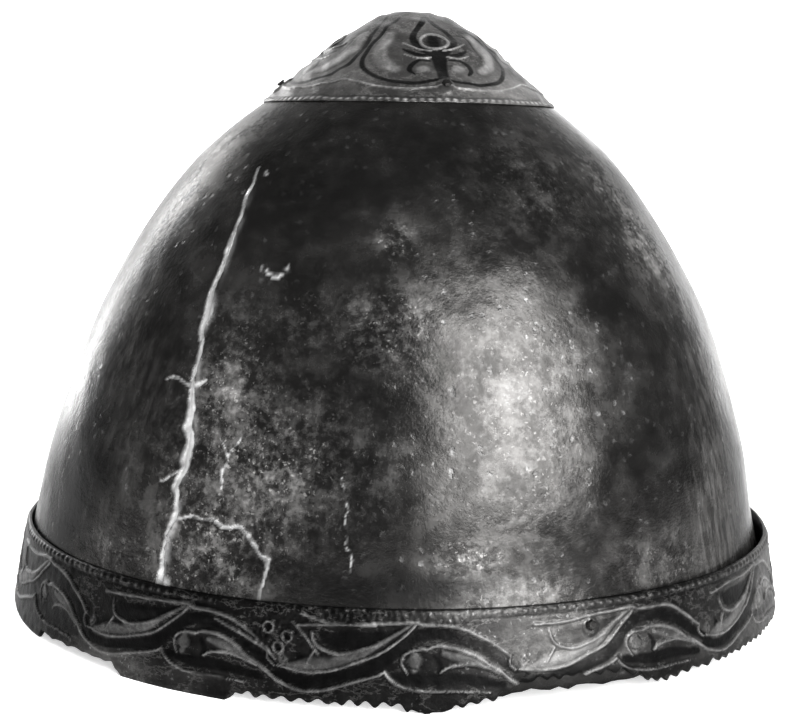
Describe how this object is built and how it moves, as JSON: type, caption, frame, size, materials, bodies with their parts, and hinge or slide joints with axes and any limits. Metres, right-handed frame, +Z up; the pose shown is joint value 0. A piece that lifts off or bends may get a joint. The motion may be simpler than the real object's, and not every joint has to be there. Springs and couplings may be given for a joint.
{
  "type": "iron helmet",
  "caption": "Pointed one-piece iron helmet, hollow and open below, with a light metal crown plate and brow band in low relief, standing on its rim.",
  "frame": {"origin": "centre of the box round the rim, on the surface that the helmet stands on", "axes": "+Z up towards the tip, +X to the wearer's left as the ornamented front faces -Y, across the widest part of the rim"},
  "size_m": [0.2371, 0.2273, 0.1781],
  "materials": {
    "iron": "dark mottled iron with a soft sheen, pitted and stained",
    "silvered": "worn light metal with darkened ornament"
  },
  "bodies": {
    "root": {"bowl": "iron", "crown_plate": "silvered", "brow_band": "silvered", "band_rivet_1": "iron", "band_rivet_2": "iron", "band_rivet_3": "iron", "band_rivet_4": "iron", "crown_rivet_1": "iron", "crown_rivet_2": "iron", "crown_rivet_3": "iron", "crown_rivet_4": "iron"}
  },
  "joints": []
}
